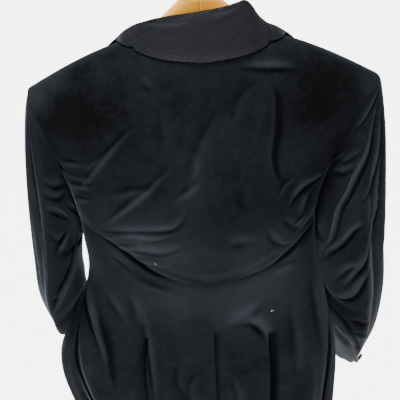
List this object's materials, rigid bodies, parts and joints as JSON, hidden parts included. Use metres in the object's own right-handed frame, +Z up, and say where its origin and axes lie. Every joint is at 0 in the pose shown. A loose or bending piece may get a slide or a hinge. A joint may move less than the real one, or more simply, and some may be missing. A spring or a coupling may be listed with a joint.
{
  "type": "tailcoat on a wooden hanger",
  "caption": "Black velvet evening tailcoat with a ribbed silk shawl collar, hung open on a plain wooden hanger with a wire hook.",
  "frame": {"origin": "the seat inside the top of the hanger's hook, where a rail carries it", "axes": "+Z up along the hanging coat, -Y towards the coat's open front, +X towards the wearer's left"},
  "size_m": [0.528, 0.3303, 1.1692],
  "materials": {
    "velvet": "black cotton velvet with a soft sheen at the folds",
    "silk": "blue-black ribbed silk with a low gloss",
    "wood": "clear varnished light wood",
    "steel": "bright plated wire"
  },
  "bodies": {
    "root": {"back_left": "velvet", "back_right": "velvet", "collar_left": "silk", "collar_right": "silk", "cuff_button_left_1": "silk", "cuff_button_left_2": "silk", "cuff_button_right_1": "silk", "cuff_button_right_2": "silk", "forepart_left": "velvet", "forepart_right": "velvet", "front_button_left_1": "silk", "front_button_left_2": "silk", "front_button_left_3": "silk", "front_button_right_1": "silk", "front_button_right_2": "silk", "front_button_right_3": "silk", "hanger_arm_left": "wood", "hanger_arm_right": "wood", "hanger_hook": "steel", "side_body_left": "velvet", "side_body_right": "velvet", "skirt_left": "velvet", "skirt_right": "velvet", "top_sleeve_left": "velvet", "top_sleeve_right": "velvet", "under_sleeve_left": "velvet", "under_sleeve_right": "velvet"}
  },
  "joints": []
}
